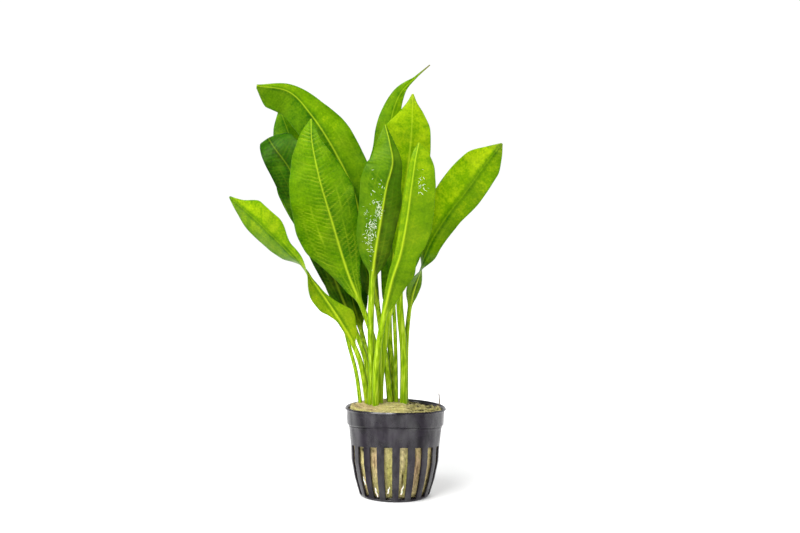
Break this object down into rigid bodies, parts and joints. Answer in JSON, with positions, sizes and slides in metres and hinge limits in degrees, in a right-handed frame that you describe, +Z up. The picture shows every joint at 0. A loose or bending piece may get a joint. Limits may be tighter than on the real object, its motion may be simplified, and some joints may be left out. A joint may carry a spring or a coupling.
{
  "type": "potted echinodorus",
  "caption": "Aquarium sword plant: a rosette of broad lance-shaped leaves on upright stalks, rooted in a mineral wool plug in a small slotted plastic nursery pot.",
  "frame": {"origin": "centre of the face that the pot stands on, on the pot's axis", "axes": "+Z up along the pot's axis and the leaves, -Y to the front that the picture shows, +X to the right of it"},
  "size_m": [0.1447, 0.0773, 0.2356],
  "materials": {
    "pot": "satin",
    "wool": "matte",
    "rootstock": "matte",
    "leaf": "satin",
    "root": "satin",
    "dry_stalk": "matte"
  },
  "bodies": {
    "root": {"pot": "pot", "wool_plug": "wool", "rootstock": "rootstock", "leaf_far_left": "leaf", "leaf_front_left": "leaf", "leaf_back_left": "leaf", "leaf_left_curled": "leaf", "leaf_back_far": "leaf", "leaf_arching": "leaf", "leaf_centre": "leaf", "leaf_top_right": "leaf", "leaf_top_narrow": "leaf", "leaf_front_right": "leaf", "leaf_right_inner": "leaf", "leaf_back_inner": "leaf", "leaf_far_right": "leaf", "root_1": "root", "root_2": "root", "root_3": "root", "root_4": "root", "dry_stalk": "dry_stalk"}
  },
  "joints": []
}
